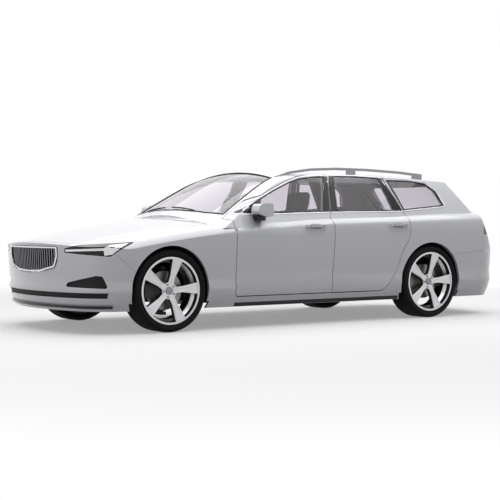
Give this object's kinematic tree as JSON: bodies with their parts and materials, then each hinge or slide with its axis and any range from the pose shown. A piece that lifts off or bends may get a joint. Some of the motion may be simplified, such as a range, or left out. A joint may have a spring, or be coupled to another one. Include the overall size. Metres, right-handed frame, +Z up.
{
  "type": "estate car",
  "caption": "Long low estate car with five doors, upright barred grille, slim lamps, roof rails and large spoked alloy wheels.",
  "frame": {"origin": "on the ground under the middle of the car's length, on the centre plane", "axes": "+X toward the rear, +Y to the car's right, +Z up"},
  "size_m": [4.9306, 2.02, 1.4378],
  "materials": {
    "paint": "gloss pearl white",
    "glass": "dark tinted",
    "red_lens": "gloss",
    "clear_lens": "clear",
    "bright_grille": "polished",
    "black_plastic": "fine grain",
    "rail_metal": "satin",
    "cast_metal": "rough",
    "floor_paint": "matt",
    "pipe_steel": "brushed",
    "seat_leather": "soft",
    "tyre": "matt",
    "alloy": "polished"
  },
  "bodies": {
    "body": {"front_bumper": "paint", "fenders": "paint", "cowl": "paint", "body_side_left": "paint", "body_side_right": "paint", "roof": "paint", "rear_bumper": "paint", "windscreen": "glass", "quarter_glasses": "glass", "tail_lamps": "red_lens", "headlamps": "clear_lens", "grille": "bright_grille", "intake_grilles": "black_plastic", "front_lip": "black_plastic", "wheel_houses": "black_plastic", "dashboard": "black_plastic", "roof_rails": "rail_metal", "engine": "cast_metal", "front_cradle": "cast_metal", "rear_axle": "cast_metal", "floor_pan": "floor_paint", "fire_wall": "floor_paint", "centre_posts": "floor_paint", "exhaust": "pipe_steel", "front_seats": "seat_leather", "rear_bench": "seat_leather"},
    "hood": {"hood": "paint"},
    "tailgate": {"tailgate": "paint", "rear_glass": "glass"},
    "steering_wheel": {"steering_wheel": "black_plastic"},
    "door_front_left": {"door_front_left": "paint", "door_glass_front_left": "glass", "mirror_left": "paint"},
    "door_rear_left": {"door_rear_left": "paint", "door_glass_rear_left": "glass"},
    "knuckle_left": {"knuckle_front_left": "cast_metal"},
    "door_front_right": {"door_front_right": "paint", "door_glass_front_right": "glass", "mirror_right": "paint"},
    "door_rear_right": {"door_rear_right": "paint", "door_glass_rear_right": "glass"},
    "knuckle_right": {"knuckle_front_right": "cast_metal"},
    "wheel_front_left": {"tyre_front_left": "tyre", "rim_front_left": "alloy", "brake_disc_front_left": "cast_metal"},
    "wheel_front_right": {"tyre_front_right": "tyre", "rim_front_right": "alloy", "brake_disc_front_right": "cast_metal"},
    "wheel_rear_left": {"tyre_rear_left": "tyre", "rim_rear_left": "alloy", "brake_disc_rear_left": "cast_metal"},
    "wheel_rear_right": {"tyre_rear_right": "tyre", "rim_rear_right": "alloy", "brake_disc_rear_right": "cast_metal"}
  },
  "joints": [
    {"name": "hood_hinge", "type": "hinge", "parent": "body", "child": "hood", "pos_m": [-1.15, 0, 0.96781], "axis": [0, 1, 0], "range_deg": [0, 50]},
    {"name": "tailgate_hinge", "type": "hinge", "parent": "body", "child": "tailgate", "pos_m": [1.7, 0, 1.39428], "axis": [0, -1, 0], "range_deg": [0, 78]},
    {"name": "door_front_left_hinge", "type": "hinge", "parent": "body", "child": "door_front_left", "pos_m": [-0.942, -0.9355, 0.845], "axis": [0, 0, -1], "range_deg": [0, 65]},
    {"name": "door_rear_left_hinge", "type": "hinge", "parent": "body", "child": "door_rear_left", "pos_m": [0.13, -0.939, 0.62], "axis": [0, 0, -1], "range_deg": [0, 65]},
    {"name": "steer_left", "type": "hinge", "parent": "body", "child": "knuckle_left", "pos_m": [-1.596, -0.763, 0.35], "axis": [0, 0, 1], "range_deg": [-35, 35]},
    {"name": "wheel_front_left_spin", "type": "hinge", "parent": "knuckle_left", "child": "wheel_front_left", "pos_m": [-1.596, -0.8, 0.35], "axis": [0, 1, 0], "continuous": true},
    {"name": "wheel_rear_left_spin", "type": "hinge", "parent": "body", "child": "wheel_rear_left", "pos_m": [1.345, -0.8, 0.35], "axis": [0, 1, 0], "continuous": true},
    {"name": "door_front_right_hinge", "type": "hinge", "parent": "body", "child": "door_front_right", "pos_m": [-0.942, 0.9355, 0.845], "axis": [0, 0, 1], "range_deg": [0, 65]},
    {"name": "door_rear_right_hinge", "type": "hinge", "parent": "body", "child": "door_rear_right", "pos_m": [0.13, 0.939, 0.62], "axis": [0, 0, 1], "range_deg": [0, 65]},
    {"name": "steer_right", "type": "hinge", "parent": "body", "child": "knuckle_right", "pos_m": [-1.596, 0.763, 0.35], "axis": [0, 0, 1], "range_deg": [-35, 35]},
    {"name": "wheel_front_right_spin", "type": "hinge", "parent": "knuckle_right", "child": "wheel_front_right", "pos_m": [-1.596, 0.8, 0.35], "axis": [0, 1, 0], "continuous": true},
    {"name": "wheel_rear_right_spin", "type": "hinge", "parent": "body", "child": "wheel_rear_right", "pos_m": [1.345, 0.8, 0.35], "axis": [0, 1, 0], "continuous": true},
    {"name": "steering_wheel_turn", "type": "hinge", "parent": "body", "child": "steering_wheel", "pos_m": [-0.56, -0.37, 0.96], "axis": [0.9063, 0, 0.4226], "range_deg": [-490, 490]}
  ],
  "couplings": [
    {"joint": "steer_right", "follows": "steer_left", "ratio": 1},
    {"joint": "steering_wheel_turn", "follows": "steer_left", "ratio": 14}
  ]
}
